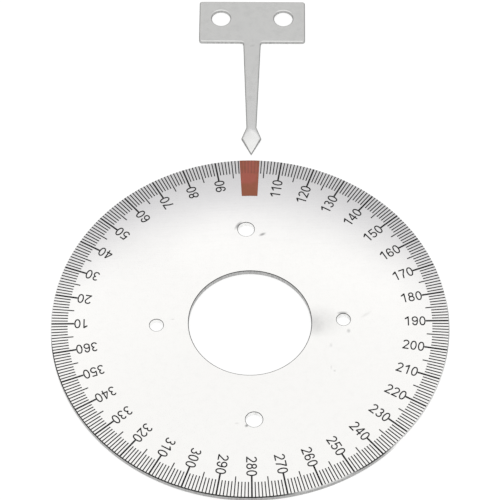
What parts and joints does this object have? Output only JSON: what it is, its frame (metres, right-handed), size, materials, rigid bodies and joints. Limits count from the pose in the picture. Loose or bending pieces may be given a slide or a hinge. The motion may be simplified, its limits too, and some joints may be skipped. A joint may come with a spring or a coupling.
{
  "type": "graduated dial plate with pointer",
  "caption": "Flat round degree dial plate with a spindle bore and screw holes, and a flat T-shaped reading pointer that points at its rim.",
  "frame": {"origin": "centre of the plate's bore, on the underside of the plate", "axes": "+Z along the bore, out of the printed face; +Y from the bore to the pointer"},
  "size_m": [0.13, 0.1991, 0.0021],
  "materials": {
    "plate_steel": "bright rolled face with fine scratches",
    "scale_ink": "matt black printed ink",
    "red_film": "thin red print over the scale",
    "pointer_steel": "tumbled satin with softened edges"
  },
  "bodies": {
    "pointer": {"pointer": "pointer_steel"},
    "dial": {"dial_plate": "plate_steel", "degree_lines": "scale_ink", "five_degree_lines": "scale_ink", "ten_degree_lines": "scale_ink", "numerals": "scale_ink", "red_mark": "red_film"}
  },
  "joints": [
    {"name": "dial_turn", "type": "hinge", "parent": "pointer", "child": "dial", "pos_m": [0, 0, 0], "axis": [0, 0, 1], "continuous": true}
  ]
}
